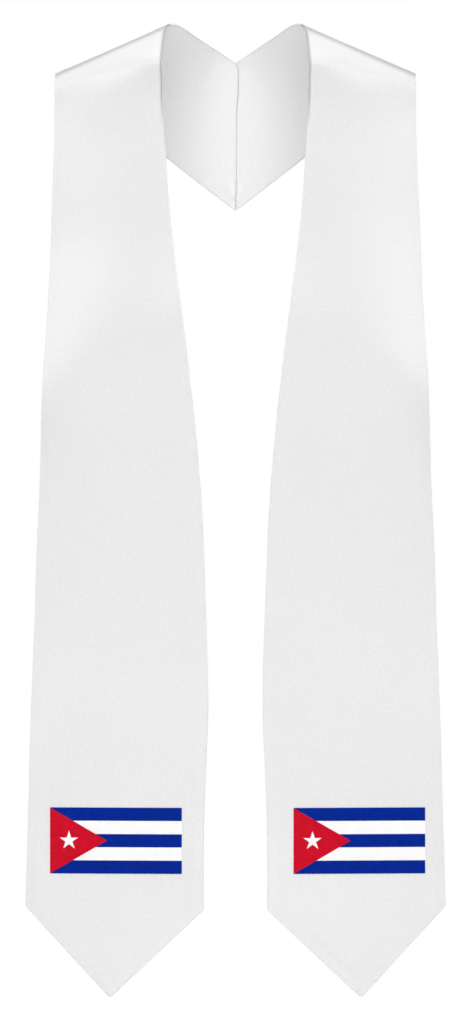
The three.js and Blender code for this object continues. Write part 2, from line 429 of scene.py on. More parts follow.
def with_drift(points):
    shift = np.interp(points[:, 2], DRIFT_HEIGHTS, DRIFT_SHIFTS)
    near = np.exp(-((points[:, 0] / DRIFT_REACH) ** 2)) * (points[:, 1] > NECK_DEPTH / 2)
    moved = points.copy()
    moved[:, 0] += shift * near
    return moved


print(f"the seam drifts {max(DRIFT_SHIFTS) * 1000:.1f} mm at most")

# %% [markdown]
# ## Sheets with turned edges
#
# The outer cloth and the lining are sewn together face to face and turned right side out, so the
# outer cloth rolls just round every edge and the lining begins almost a millimetre inside it. A
# solidify modifier would give every edge the same square corner. Here one grid makes the face, a
# second one makes the other side, and the two share the points along the edge. Grid lines are crowded
# near the edges, where the cloth turns.

# %% Lay out the grid of a sheet
Sheet = namedtuple("Sheet", "along across width edge seam base normal rows columns")
EDGE_STEPS = np.array([0, 0.05, 0.14, 0.26, 0.4, 0.7, 0.75, 1.0, 1.4, 2.4, 4.0, 5.8, 7.5, 9.2, 11.5])
EDGE_STEPS *= 0.001
END_STEPS = np.array([0, 0.1, 0.3, 0.6, 0.9, 1.3, 2.0, 3.2]) * 0.001
EDGE_BANDS = 2.3
TIP_BLUNT = 0.0012
TIP_SHORTER = 1.4
HEM_CORNER = 0.004
LINING_INSET = 0.0008


def along_rows(first, last, step):
    low = first + END_STEPS
    high = last - END_STEPS[::-1]
    count = int((high[0] - low[-1]) / step)
    return np.concatenate([low[:-1], np.linspace(low[-1], high[0], count), high[1:]])


def across_columns(width, slant, inset, inner_count):
    """Shares of the width for one row, crowded towards both edges. A slanting edge spreads them out,
    and a narrow row squeezes both bands of crowded lines."""
    room = width - 2 * inset / slant
    steps = EDGE_STEPS / slant * min(1, room * slant / (EDGE_BANDS * EDGE_STEPS[-1]))
    inside = np.linspace(steps[-1], room - steps[-1], inner_count + 2)[1:-1]
    places = np.concatenate([steps, inside, room - steps[::-1]])
    return (inset / slant + places) / width


def lay_out(inset, seam_inset, row_step, inner_count):
    first = TIP_BLUNT - POINT_LENGTH + TIP_SHORTER * inset
    along = along_rows(first, STRIP_LENGTH - seam_inset, row_step)
    widths = strip_width(along)
    point_slant = POINT_LENGTH / math.hypot(POINT_LENGTH, HEM_WIDTH / 2)
    slants = mix(1, point_slant, np.clip(0.5 - along / HEM_CORNER, 0, 1))
    across = np.array([across_columns(*row, inset, inner_count) for row in zip(widths, slants)])
    rows, columns = across.shape
    along = np.repeat(along, columns)
    width = np.repeat(widths, columns)
    slant = np.repeat(slants, columns)
    across = across.ravel()
    side_distance = np.minimum(across, 1 - across) * width * slant
    edge = np.minimum(side_distance, along - first + inset)
    base = strip_point(along, across)
    normal = strip_normal(along, across)
    seam = base[:, 0] - SEAM_GAP / 2
    return Sheet(along, across, width, edge, seam, base, normal, rows, columns)


outer_layout = lay_out(inset=0, seam_inset=0, row_step=0.0022, inner_count=34)
lining_layout = lay_out(inset=LINING_INSET, seam_inset=0.0001, row_step=0.0030, inner_count=22)
print("grid of the outer cloth:", outer_layout.rows, "x", outer_layout.columns)


# %% Close two grids into one body
def closed_sheet(rows, columns, face, other):
    """Points and faces of one body from two grids of points that share their border. The last result
    says which grid point each point came from."""
    corner = np.arange(rows * columns).reshape(rows, columns)
    quads = np.stack([corner[:-1, :-1], corner[:-1, 1:], corner[1:, 1:], corner[1:, :-1]], axis=-1)
    quads = quads.reshape(-1, 4)
    inner = np.zeros((rows, columns), bool)
    inner[1:-1, 1:-1] = True
    renumber = corner.copy()
    renumber[inner] = rows * columns + np.arange(inner.sum())
    other_quads = renumber.ravel()[quads][:, ::-1]
    points = np.concatenate([face, other[inner.ravel()]])
    places = np.concatenate([np.arange(len(face)), np.flatnonzero(inner.ravel())])
    return points, np.concatenate([quads, other_quads]), places


flat_grid = np.zeros((9, 3))
print("points of a body from two grids of 3 x 3:", len(closed_sheet(3, 3, flat_grid, flat_grid)[0]))


# %% Make a piece from points and faces
def add_piece(name, points, faces, uv=None, bend=None):
    mesh = bpy.data.meshes.new(name)
    mesh.from_pydata(points.tolist(), [], faces.tolist())
    if uv is not None:
        layer = mesh.uv_layers.new(name="cloth")
        corners = np.zeros(len(mesh.loops), np.int32)
        mesh.loops.foreach_get("vertex_index", corners)
        layer.data.foreach_set("uv", uv[corners].astype(np.float32).ravel())
    # The mask of painted shade along the shoulder fold and the neck edge, kept on each point.
    if bend is not None:
        values = mesh.attributes.new("painted_fold_shade", "FLOAT", "POINT")
        values.data.foreach_set("value", bend.astype(np.float32))
    mesh.polygons.foreach_set("use_smooth", np.ones(len(mesh.polygons), bool))
    mesh.validate()
    mesh.update()
    piece = bpy.data.objects.new(name, mesh)
    scene.collection.objects.link(piece)
    return piece


# %% [markdown]
# ## The two layers
#
# Both layers follow the same skin at different heights. The outer cloth is the thicker one, because it
# carries the interfacing. At the centre seam both layers roll inwards, which leaves the fine dark groove
# that the eye reads as a seam.

# %% Make the outer cloth and the lining
FACE = 0.0009
HEM_TURN = 0.0004
HEM_MARGIN = 0.0007
HEM_STEP = 0.00005
TRAY = -0.0001
LINING_FACE = -0.00095
LINING_BACK = -0.00018
LINING_TURN = 0.00008
GROOVE_HEIGHTS = [-0.122, -0.098, -0.092, -0.040, -0.028, -0.003]
GROOVE_WIDTHS = [0.0006, 0.0006, 0.00018, 0.0002, 0.0010, 0.0013]


def rolled(distance, radius):
    """0 at an edge, rising round a quarter circle to 1 at radius."""
    share = np.clip(distance / radius, 0, 1)
    return np.sqrt(1 - (1 - share) ** 2)


def outer_heights(layout):
    face = FACE * np.minimum(rolled(layout.edge, FACE), rolled(layout.seam, FACE))
    margin = -FACE * rolled(layout.edge, HEM_TURN)
    step = np.clip((layout.edge - HEM_MARGIN) / HEM_STEP, 0, 1)
    other = mix(margin, TRAY, step) * np.clip(layout.seam / HEM_STEP, 0, 1)
    return face, other


def lining_heights(layout):
    from_edge = layout.edge - layout.edge.min()
    groove = np.interp(layout.base[:, 2], GROOVE_HEIGHTS, GROOVE_WIDTHS)
    roll = np.minimum(rolled(from_edge, LINING_TURN), rolled(layout.seam, groove))
    return mix(LINING_BACK, LINING_FACE, roll), np.full_like(roll, LINING_BACK)


def mirrored(points, side):
    return points * [-1, 1, 1] if side == "left" else points


def add_layer(name, side, layout, heights):
    """One layer of cloth. The lining faces the wearer, so its two sides change places."""
    relief = cloth_relief(*layout[:4], layout.base, side)
    sides = []
    for height in heights(layout):
        points = layout.base + layout.normal * (relief + height)[:, None]
        sides.append(with_drift(mirrored(points, side)))
    if heights is lining_heights:
        sides.reverse()
    points, quads, places = closed_sheet(layout.rows, layout.columns, *sides)
    if side == "left":
        quads = quads[:, ::-1]
    aside = (layout.across - 0.5) * layout.width
    uv = np.stack([aside, layout.along], axis=1)[places]
    # The mask of painted shade for each point of the layer.
    bend = painted_fold_shade(layout.along, layout.across, layout.width)[places]
    return add_piece(name, points, quads, uv, bend)


cloths = {}
linings = {}
for side in ("left", "right"):
    cloths[side] = add_layer(f"{side}_outer_cloth", side, outer_layout, outer_heights)
    linings[side] = add_layer(f"{side}_inner_lining", side, lining_layout, lining_heights)
    counts = [len(piece.data.polygons) for piece in (cloths[side], linings[side])]
    print(side, "cloth and lining, faces:", counts)

# %% [markdown]
# ## The centre seam
#
# The two halves are joined by a row of machine stitches. They lie deep in the groove, on the folded
# seam allowance, which closes the gap between the halves. A bevelled curve for each stitch would be
# slow. So each stitch is a short thread with narrow ends, and one function makes many of them at
# once, here for the seam and later for the embroidery.

# %% Make many stitches at once
THREAD_RING = np.array([[0, -1], [-1, 0], [0, 1], [1, 0]])
THREAD_SHARES = np.array([0, 0.12, 0.35, 0.65, 0.88, 1])
THREAD_SWELL = np.array([0.35, 0.85, 1, 1, 0.85, 0.35])
THREAD_LIFT = np.array([-0.6, 0.35, 1, 1, 0.35, -0.6])


def tube_faces(rings, around):
    """Faces of a closed tube whose points come ring by ring, with four in each end."""
    quads = []
    for low in range(0, (rings - 1) * around, around):
        high = low + around
        for corner in range(around):
            following = (corner + 1) % around
            quads.append([low + corner, low + following, high + following, high + corner])
    last = (rings - 1) * around
    return np.array([*quads, [3, 2, 1, 0], [last, last + 1, last + 2, last + 3]])


def stitch_bodies(starts, ends, across, upwards, width, height):
    """Closed bodies for stitches from starts to ends. across and upwards are unit directions."""
    count = len(starts)
    sections = len(THREAD_SHARES)
    shares = THREAD_SHARES[None, :, None, None]
    line = mix(starts[:, None, None], ends[:, None, None], shares)
    swell = THREAD_SWELL[None, :, None, None]
    lift = THREAD_LIFT[None, :, None, None] * height / 2
    ring_across = THREAD_RING[None, None, :, :1] * width / 2 * swell * across[:, None, None]
    ring_up = (THREAD_RING[None, None, :, 1:] * height / 2 * swell + lift) * upwards[:, None, None]
    points = (line + ring_across + ring_up).reshape(-1, 3)
    around = len(THREAD_RING)
    offsets = np.arange(count)[:, None, None] * sections * around
    quads = (tube_faces(sections, around)[None] + offsets).reshape(-1, 4)
    lengths = np.linalg.norm(ends - starts, axis=1)
    u = (THREAD_SHARES[None, :, None] * lengths[:, None, None] + np.zeros((1, 1, around))).ravel()
    v = np.tile(np.arange(around) * width / 2, count * sections)
    return points, quads, np.stack([u, v], axis=1)


def crease_sides(mesh, first):
    """Crease both sides of every thread, from the vertex first on, so that only its ridge is shaded
    round. The sides are the odd corners of the thread's ring."""
    ends = np.zeros(len(mesh.edges) * 2, np.int32)
    mesh.edges.foreach_get("vertices", ends)
    ends = ends.reshape(-1, 2)
    ring = (ends - first) % len(THREAD_RING)
    lengthwise = (ring[:, 0] == ring[:, 1]) & (ends.min(axis=1) >= first)
    creases = mesh.attributes.new("sharp_edge", "BOOLEAN", "EDGE")
    creases.data.foreach_set("value", lengthwise & (ring[:, 0] % 2 == 1))


print("points in one stitch:", len(THREAD_SHARES) * len(THREAD_RING))

# %% Sew the centre seam
SEAM_STITCH = 0.0026
SEAM_THREAD = 0.00035
STITCH_SPAN = (0.06, 0.94)
SEAM_ENDS = (0.012, 0.988)
WEB_ROWS = 64
WEB_HALF_WIDTH = 0.0007
WEB_THICKNESS = 0.0002
WEB_FORWARD = 0.00001


def seam_line(count):
    """Points down the seam, on the smooth skin between the two halves."""
    along = np.full(count, STRIP_LENGTH)
    points = strip_point(along, np.linspace(*SEAM_ENDS, count))
    points[:, 0] = 0
    return points


def seam_web():
    """The folded seam allowance that closes the gap, a narrow ribbon."""
    line = seam_line(WEB_ROWS)
    corners = ((-1, -1), (1, -1), (1, 1), (-1, 1))
    rings = [line + [a * WEB_HALF_WIDTH, b * WEB_THICKNESS / 2 - WEB_FORWARD, 0] for a, b in corners]
    points = np.stack(rings, axis=1).reshape(-1, 3)
    return points, tube_faces(WEB_ROWS, len(corners))[:, ::-1]


def sew_seam():
    web_points, web_quads = seam_web()
    length = np.linalg.norm(np.diff(seam_line(WEB_ROWS), axis=0), axis=1).sum()
    knots = seam_line(int(length / SEAM_STITCH) + 1)
    side_on = np.tile([-1.0, 0, 0], (len(knots) - 1, 1))
    inwards = np.tile([0, -1.0, 0], (len(knots) - 1, 1))
    lift = inwards * WEB_THICKNESS / 2
    starts, ends = [mix(knots[:-1], knots[1:], share) + lift for share in STITCH_SPAN]
    points, quads, uv = stitch_bodies(starts, ends, side_on, inwards, SEAM_THREAD, SEAM_THREAD)
    uv = np.concatenate([web_points[:, [0, 2]], uv])
    points = np.concatenate([web_points, points])
    quads = np.concatenate([web_quads, quads + len(web_points)])
    piece = add_piece("centre_seam", with_drift(points), quads, uv)
    crease_sides(piece.data, len(web_points))
    return piece


seam = sew_seam()
print("faces in the centre seam:", len(seam.data.polygons))

# %% [markdown]
# ## The embroidery
#
# A machine fills each field of the flag with parallel rows of short stitches, and shifts every row
# against the one before, so that the needle holes never line up. Each field is drawn as an outline. Then
# level lines are cut by the outline, and each piece of a line is divided into stitches. A striped bump
# in the material would be cheaper, but here every stitch is a real body, so the thread shows at the edge
# of a field and in the light.

# %% Draw the fields of the flag
FLAG_LENGTH = 0.1032
FLAG_HEIGHT = 0.0516
FLAG_RISE = 0.0527
FLAG_OFFSET = {"left": 0.0012, "right": 0.0021}
STRIPE_NAMES = ("top_stripe", "upper_stripe", "middle_stripe", "lower_stripe", "bottom_stripe")
STAR_RADIUS = 0.0076
TRIANGLE_LENGTH = FLAG_HEIGHT * math.sqrt(3) / 2
HOIST = -FLAG_LENGTH / 2


def star_outline(radius):
    notch = radius * math.sin(math.radians(18)) / math.sin(math.radians(126))
    points = []
    for i in range(10):
        reach = notch if i % 2 else radius
        angle = math.radians(90 + 36 * i)
        points.append((HOIST + TRIANGLE_LENGTH / 3 + reach * math.cos(angle), reach * math.sin(angle)))
    return points


def triangle_edge(y):
    return HOIST + TRIANGLE_LENGTH * (1 - abs(y) / (FLAG_HEIGHT / 2))


def stripe_outline(index):
    upper = FLAG_HEIGHT * (0.5 - index / len(STRIPE_NAMES))
    lower = upper - FLAG_HEIGHT / len(STRIPE_NAMES)
    points = [(triangle_edge(lower), lower), (-HOIST, lower)]
    points += [(-HOIST, upper), (triangle_edge(upper), upper)]
    if lower < 0 < upper:
        points.append((triangle_edge(0), 0))
    return points


triangle_outline = [(HOIST, -FLAG_HEIGHT / 2), (HOIST + TRIANGLE_LENGTH, 0), (HOIST, FLAG_HEIGHT / 2)]
print("fields in each flag:", len(STRIPE_NAMES) + 2)


# %% Cut level lines by an outline
def cut_line(outlines, y):
    """The stretches of a level line that lie inside the outlines, by counting the crossings."""
    crossings = []
    for outline in outlines:
        for (ax, ay), (bx, by) in zip(outline, outline[1:] + outline[:1]):
            if (ay > y) != (by > y):
                crossings.append(ax + (bx - ax) * (y - ay) / (by - ay))
    crossings.sort()
    return list(zip(crossings[::2], crossings[1::2]))


def turned(points, angle):
    cosine, sine = math.cos(angle), math.sin(angle)
    return [(x * cosine - y * sine, x * sine + y * cosine) for x, y in points]


triangle_line = cut_line([triangle_outline], 0)[0]
print(f"the triangle's middle line: {(triangle_line[1] - triangle_line[0]) * 1000:.1f} mm")

# %% Fill a field with stitches
ROW_PITCH = 0.00042
STITCH_LENGTH = 0.0042
ROW_SHIFTS = (0, 0.33, 0.66, 0.16, 0.5, 0.83)
THREAD_WIDTH = 0.00050
THREAD_HEIGHT = 0.00028
SHORTEST_STITCH = 0.0007
STITCH_STRAY = 0.00008


def fill_stitches(outlines, angle, seed, stitch=STITCH_LENGTH):
    """Starts and ends of the stitches of a field, in the flat flag, in rows turned by angle."""
    chance = np.random.default_rng(seed)
    level = [turned(outline, -angle) for outline in outlines]
    heights = [y for outline in level for _, y in outline]
    count = max(2, round((max(heights) - min(heights)) / ROW_PITCH))
    pitch = (max(heights) - min(heights)) / count
    pairs = []
    for row in range(count):
        y = min(heights) + (row + 0.5) * pitch
        shift = ROW_SHIFTS[row % len(ROW_SHIFTS)] * stitch
        for low, high in cut_line(level, y):
            first = math.floor((low - shift) / stitch) + 1
            last = first + int((high - low) / stitch) + 2
            breaks = [shift + stitch * i for i in range(first, last)]
            breaks = [x for x in breaks if low + SHORTEST_STITCH < x < high - SHORTEST_STITCH]
            start_stray = chance.uniform(-1, 1) * STITCH_STRAY
            end_stray = chance.uniform(-1, 1) * STITCH_STRAY
            ends = [low + start_stray, *breaks, high + end_stray]
            for start, end in zip(ends, ends[1:]):
                pairs.append(((start, y), (end, y)))
    starts = turned([pair[0] for pair in pairs], angle)
    ends = turned([pair[1] for pair in pairs], angle)
    return np.array(starts), np.array(ends)


print("stitches in a full triangle:", len(fill_stitches([triangle_outline], math.pi / 2, 0)[0]))

# %% [markdown]
# ## Laying the flag on the cloth
#
# The flag is drawn flat and then laid on the strip. Each of its points finds its place on the strip's
# skin, and the cloth's own waves lift it, so the threads never sink in or float. Under the threads lies
# a thin bed of the same colour, as the underlay stitches do in real embroidery.

# %% Lay points of the flat flag on the cloth
BED_HEIGHT = 0.00022


def lay_on_cloth(flat, heights, side):
    """The points, and the direction away from the cloth at each of them."""
    sign = -1 if side == "left" else 1
    outward = hem_row[1][0] + sign * (FLAG_OFFSET[side] + flat[:, 0])
    along = flat[:, 1] + FLAG_RISE
    ends = np.zeros_like(along)
    inner = strip_point(along, ends)
    width = strip_width(along)
    across = (outward - inner[:, 0]) / (width * math.cos(HANG_SWEEP))
    base = np.stack([outward, outward * SWEEP_SLOPE - CHEST_DEPTH, along - DROP], axis=1)
    normal = strip_normal(along, across)
    edge_distance = np.minimum(across, 1 - across) * width
    relief = cloth_relief(along, across, width, edge_distance, base, side)
    points = base + normal * (relief + FACE + heights)[:, None]
    return mirrored(points, side), mirrored(normal, side)


flag_middle = lay_on_cloth(np.zeros((1, 2)), np.zeros(1), "right")[0][0]
print("the middle of the right flag:", [round(float(value), 4) for value in flag_middle])

# %% Make the bed of a field
BED_CELL = 0.0018
BED_INSET = 0.00003
BED_EDGE = np.array([0, 0.0002, 0.0006])
BED_NARROW = 0.002


def bed_rows(outline):
    """Rows of points across an outline, crowded near its border."""
    low = min(y for _, y in outline) + BED_INSET
    high = max(y for _, y in outline) - BED_INSET
    edges = list(low + BED_EDGE) + list(high - BED_EDGE)
    levels = sorted({*edges, *np.linspace(low, high, int((high - low) / BED_CELL) + 3)})
    columns = int((max(x for x, _ in outline) - min(x for x, _ in outline)) / BED_CELL)
    rows = []
    for y in levels:
        left, right = cut_line([outline], y)[0]
        left, right = left + BED_INSET, max(right - BED_INSET, left + 2 * BED_INSET)
        edge = BED_EDGE * min(1, (right - left) / BED_NARROW)
        inside = np.linspace(left + edge[-1], right - edge[-1], columns)[1:-1]
        rows.append([(x, y) for x in (*(left + edge), *inside, *(right - edge[::-1]))])
    return np.array(rows)


def bed_body(outline, side):
    rows = bed_rows(outline)
    flat = rows.reshape(-1, 2)
    swell = np.full(rows.shape[:2], BED_HEIGHT)
    swell[[0, -1]] = 0
    swell[:, [0, -1]] = 0
    face, _ = lay_on_cloth(flat, swell.ravel(), side)
    under, _ = lay_on_cloth(flat, np.full(len(flat), -BED_HEIGHT / 2), side)
    points, quads, places = closed_sheet(rows.shape[0], rows.shape[1], face, under)
    return points, quads, flat[places]


print("grid of the triangle's bed:", bed_rows(triangle_outline).shape[:2])

# %% Build every field
STAR_LIFT = 0.00022
STAR_STITCH = 0.0034
STRIPE_SEED = 100
TRIANGLE_SEED = 200
STAR_SEED = 300


def stitch_layer(outlines, side, angle, seed, stitch, lift):
    starts, ends = fill_stitches(outlines, angle, seed, stitch)
    heights = np.full(len(starts), lift)
    start_points, upwards = lay_on_cloth(starts, heights, side)
    end_points, _ = lay_on_cloth(ends, heights, side)
    direction = end_points - start_points
    direction /= np.linalg.norm(direction, axis=1)[:, None]
    across = np.cross(direction, upwards)
    return stitch_bodies(start_points, end_points, across, upwards, THREAD_WIDTH, THREAD_HEIGHT)


def field_piece(name, side, outlines, angle, seed, stitch=STITCH_LENGTH, with_bed=True):
    """The threads of a field over its bed, or over crossing stitches where the field has no bed."""
    if with_bed:
        under = bed_body(outlines[0], side)
    else:
        under = stitch_layer(outlines, side, angle + math.pi / 2, seed + 1, stitch, BED_HEIGHT)
    lift = BED_HEIGHT if with_bed else BED_HEIGHT + STAR_LIFT
    over = stitch_layer(outlines, side, angle, seed, stitch, lift)
    points = np.concatenate([under[0], over[0]])
    quads = np.concatenate([under[1], over[1] + len(under[0])])
    uv = np.concatenate([under[2], over[2]])
    piece = add_piece(f"{name}_threads", points, quads, uv)
    crease_sides(piece.data, len(under[0]) if with_bed else 0)
    return piece


fields = {}
for side in ("left", "right"):
    for index, stripe in enumerate(STRIPE_NAMES):
        name = f"{side}_flag_{stripe}"
        fields[name] = field_piece(name, side, [stripe_outline(index)], 0, STRIPE_SEED + index)
    star = star_outline(STAR_RADIUS)
    name = f"{side}_flag_triangle"
    fields[name] = field_piece(name, side, [triangle_outline, star], math.pi / 2, TRIANGLE_SEED)
    name = f"{side}_flag_star"
    fields[name] = field_piece(name, side, [star], 0, STAR_SEED, STAR_STITCH, with_bed=False)
print("faces in the embroidery:", sum(len(piece.data.polygons) for piece in fields.values()))

# %% [markdown]
# ## The satin
#
# Satin shines because most of its threads float over several others and lie parallel. From nearby one
# sees short floats set off in steps; from afar only a soft, slightly mottled sheen is left. Both layers
# use the same weave, so it is one node group, and the threads share a second one. The groups give
# heights, tones and a mask of painted shade only. The gloss of the floats is a clear coat on the shader
# itself, smoother than the base.

# %% Write the node groups
WEAVE = {"Floats per metre": 900.0, "Mottle per metre": 420.0}
TWIST = {"Plies per metre": 1400.0, "Dye per metre": 180.0}
FLOAT_SLIMNESS = 4.0


def new_group(name, inputs, outputs):
    """An empty group with number inputs and number outputs."""
    group = bpy.data.node_groups.new(name, "ShaderNodeTree")
    for label, value in inputs.items():
        socket = group.interface.new_socket(name=label, in_out="INPUT", socket_type="NodeSocketFloat")
        socket.default_value = value
    for label in outputs:
        group.interface.new_socket(name=label, in_out="OUTPUT", socket_type="NodeSocketFloat")
    return group, group.nodes.new("NodeGroupInput"), group.nodes.new("NodeGroupOutput")


def math_node(tree, operation, first, second):
    node = tree.nodes.new("ShaderNodeMath")
    node.operation = operation
    for socket, value in zip(node.inputs, (first, second)):
        if isinstance(value, (int, float)):
            socket.default_value = value
        else:
            tree.links.new(value, socket)
    return node.outputs[0]


def cloth_place(group):
    """The place on the cloth, and its two coordinates."""
    place = group.nodes.new("ShaderNodeUVMap")
    place.uv_map = "cloth"
    split = group.nodes.new("ShaderNodeSeparateXYZ")
    group.links.new(place.outputs[0], split.inputs[0])
    return place.outputs[0], split.outputs[0], split.outputs[1]


def noise(group, place, scale, **settings):
    node = group.nodes.new("ShaderNodeTexNoise")
    for label, value in settings.items():
        node.inputs[label].default_value = value
    group.links.new(place, node.inputs["Vector"])
    group.links.new(scale, node.inputs["Scale"])
    return node.outputs[0]


def weave_group():
    """Short floats in steps, as a height, a soft mottle, as a tone, and the mask of painted shade."""
    group, given, result = new_group("satin_weave", WEAVE, ("Height", "Tone", "Painted shade"))
    place, x, y = cloth_place(group)
    slim = group.nodes.new("ShaderNodeCombineXYZ")
    group.links.new(math_node(group, "MULTIPLY", x, FLOAT_SLIMNESS), slim.inputs[0])
    group.links.new(y, slim.inputs[1])
    floats = noise(group, slim.outputs[0], given.outputs["Floats per metre"], Detail=1.0)
    mottle = noise(group, place, given.outputs["Mottle per metre"], Detail=3.0, Roughness=0.6)
    group.links.new(math_node(group, "ADD", floats, mottle), result.inputs["Height"])
    group.links.new(mottle, result.inputs["Tone"])
    # The mask of painted shade along the shoulder fold and the neck edge.
    bend = group.nodes.new("ShaderNodeAttribute")
    bend.attribute_name = "painted_fold_shade"
    group.links.new(bend.outputs["Fac"], result.inputs["Painted shade"])
    return group


def twist_group():
    """The slanting plies of a thread, as a height, and small changes of dye along it, as a tone."""
    group, given, result = new_group("thread_twist", TWIST, ("Height", "Tone"))
    _, x, y = cloth_place(group)
    slanted = math_node(group, "ADD", x, y)
    turns = math_node(group, "MULTIPLY", slanted, given.outputs["Plies per metre"])
    wave = math_node(group, "SINE", math_node(group, "MULTIPLY", turns, 2 * math.pi), 0)
    group.links.new(wave, result.inputs["Height"])
    coordinate = group.nodes.new("ShaderNodeTexCoord")
    dye = noise(group, coordinate.outputs["Object"], given.outputs["Dye per metre"])
    group.links.new(dye, result.inputs["Tone"])
    return group


satin_weave = weave_group()
thread_twist = twist_group()
print("node groups:", satin_weave.name, thread_twist.name)


# %% Mix the materials
TONE_RANGE = (0.3, 0.7)
# The share of its colour that the satin keeps under the painted shade along the shoulder fold and the
# neck edge.
PAINTED_SHADE_SHARE = 0.42
BUMP_STRENGTH = 0.5
SHEEN_ROUGHNESS = 0.4
GLOSS_ROUGHNESS = 0.27


def grey(level):
    return (level, level, level)


def blend(tree, factor, first, second):
    """A mix of two colours, each given as three numbers or as the output of a node."""
    node = tree.nodes.new("ShaderNodeMix")
    node.data_type = "RGBA"
    tree.links.new(factor, node.inputs["Factor"])
    for label, value in (("A", first), ("B", second)):
        if isinstance(value, tuple):
            node.inputs[label].default_value = (*value, 1)
        else:
            tree.links.new(value, node.inputs[label])
    return node.outputs["Result"]


def rescale(tree, value, ends, which):
    """Scales a value from the range between two ends to 0 and 1, or the other way round."""
    node = tree.nodes.new("ShaderNodeMapRange")
    node.inputs[f"{which} Min"].default_value = ends[0]
    node.inputs[f"{which} Max"].default_value = ends[1]
    tree.links.new(value, node.inputs["Value"])
    return node.outputs[0]


def new_material(name):
    material = bpy.data.materials.new(name)
    material.use_nodes = True
    return material, material.node_tree, material.node_tree.nodes["Principled BSDF"]


def finish(name, group, colours, roughness, bump, sheen, specular, gloss=0.0):
    material, tree, shader = new_material(name)
    effect = tree.nodes.new("ShaderNodeGroup")
    effect.node_tree = group
    tone = effect.outputs["Tone"]
    colour = blend(tree, rescale(tree, tone, TONE_RANGE, "From"), *colours)
    # Where the mask is set, the base colour is darkened as painted shade.
    if "Painted shade" in effect.outputs:
        bent = tuple(share * PAINTED_SHADE_SHARE for share in colours[0])
        colour = blend(tree, effect.outputs["Painted shade"], colour, bent)
    tree.links.new(colour, shader.inputs["Base Color"])
    tree.links.new(rescale(tree, tone, roughness, "To"), shader.inputs["Roughness"])
    relief = tree.nodes.new("ShaderNodeBump")
    relief.inputs["Strength"].default_value = BUMP_STRENGTH
    relief.inputs["Distance"].default_value = bump
    tree.links.new(effect.outputs["Height"], relief.inputs["Height"])
    tree.links.new(relief.outputs[0], shader.inputs["Normal"])
    shader.inputs["Sheen Weight"].default_value = sheen
    shader.inputs["Sheen Roughness"].default_value = SHEEN_ROUGHNESS
    shader.inputs["Specular IOR Level"].default_value = specular
    shader.inputs["Coat Weight"].default_value = gloss
    shader.inputs["Coat Roughness"].default_value = GLOSS_ROUGHNESS
    return material


glossy = {"bump": 0.00004, "sheen": 0.1, "specular": 0.4, "gloss": 0.8}
dyed = {"roughness": (0.55, 0.65), "bump": 0.00003, "sheen": 0.0, "specular": 0.05}
satin = finish("satin", satin_weave, (grey(0.705), grey(0.755)), (0.40, 0.50), **glossy)
# The lining's colour is lighter than the outer satin's as painted light: it brightens the inside of the
# back.
lining_satin = finish("lining_satin", satin_weave, (grey(0.76), grey(0.81)), (0.38, 0.48), **glossy)
blues = ((0.0, 0.020, 0.285), (0.0, 0.025, 0.33))
reds = ((0.61, 0.0045, 0.022), (0.68, 0.006, 0.027))
blue_thread = finish("blue_thread", thread_twist, blues, **dyed)
red_thread = finish("red_thread", thread_twist, reds, **dyed)
white = {"roughness": (0.4, 0.5), "bump": 0.00002, "sheen": 0.1, "specular": 1.0}
white_thread = finish("white_thread", thread_twist, (grey(0.99), grey(1.0)), **white)
# The painted shade along the shoulder fold keeps this share of the colour.
print(f"sharply bent satin keeps {PAINTED_SHADE_SHARE} of its colour")

# %% [markdown]
# ## Which piece stands for which solid
#
# Every piece rides on the one body and gets its material. All but the centre seam stand for one solid
# each, and hide it. The flat area of one strip's cut is worked out and printed.

# %% Dress the frame
AREA_CUTS = 400


def flat_area(inset):
    """Area of the cut: the smooth skin of one strip, summed in narrow bands, and its pointed end."""
    along = np.linspace(0, STRIP_LENGTH, AREA_CUTS)
    middles = strip_point(along, np.full(AREA_CUTS, 0.5))
    bands = np.linalg.norm(np.diff(middles, axis=0), axis=1)
    widths = strip_width(along) - 2 * inset
    strip = (bands * (widths[1:] + widths[:-1]) / 2).sum()
    return float(strip + POINT_LENGTH * (HEM_WIDTH - 2 * inset) / 2)


def dress(piece, slot, material, *nodes):
    piece.data.materials.clear()
    piece.data.materials.append(material)
    if nodes:
        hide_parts(*nodes)
    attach(piece, "root")


for side in ("left", "right"):
    dress(cloths[side], "satin", satin, f"{side}_strip")
    dress(linings[side], "lining", lining_satin, f"{side}_lining")
dress(seam, "lining", lining_satin)
for name, piece in fields.items():
    if name.endswith("triangle"):
        dress(piece, "red_thread", red_thread, name)
    elif name.endswith(("upper_stripe", "lower_stripe", "star")):
        dress(piece, "white_thread", white_thread, name)
    else:
        dress(piece, "blue_thread", blue_thread, name)
print(f"flat area of one strip: {flat_area(0):.4f} square metres")

# %% [markdown]
# ## The stage
#
# The stole hangs in a white studio, over a pale round floor that the camera doesn't see. A wide
# softbox shines from the front and one from each side. One high above the camera draws the bright
# wedge on the shoulders, and a pair at the upper left and right the bright parts of the outer chest.
# Others from overhead, from low in front and from behind fill in the rest. Satin needs so many
# because it shows its form only where something bright is mirrored in it.

# %% Lay the floor
FLOOR_LEVEL = -1.0
FLOOR_RADIUS = 1.15
FLOOR_SIDES = 96


def add_floor():
    rim = []
    for i in range(FLOOR_SIDES):
        turn = 2 * math.pi * i / FLOOR_SIDES
        rim.append((FLOOR_RADIUS * math.cos(turn), FLOOR_RADIUS * math.sin(turn), FLOOR_LEVEL))
    floor = add_piece("floor", np.array(rim), np.arange(FLOOR_SIDES)[None])
    material, _, shader = new_material("pale_floor")
    shader.inputs["Base Color"].default_value = (0.9, 0.9, 0.9, 1)
    shader.inputs["Roughness"].default_value = 0.8
    floor.data.materials.append(material)


add_floor()
print(f"the floor lies {-FLOOR_LEVEL} m below the shoulders")


# %% Hang the lights
LIGHT_AIM = (0, 0, -0.3)


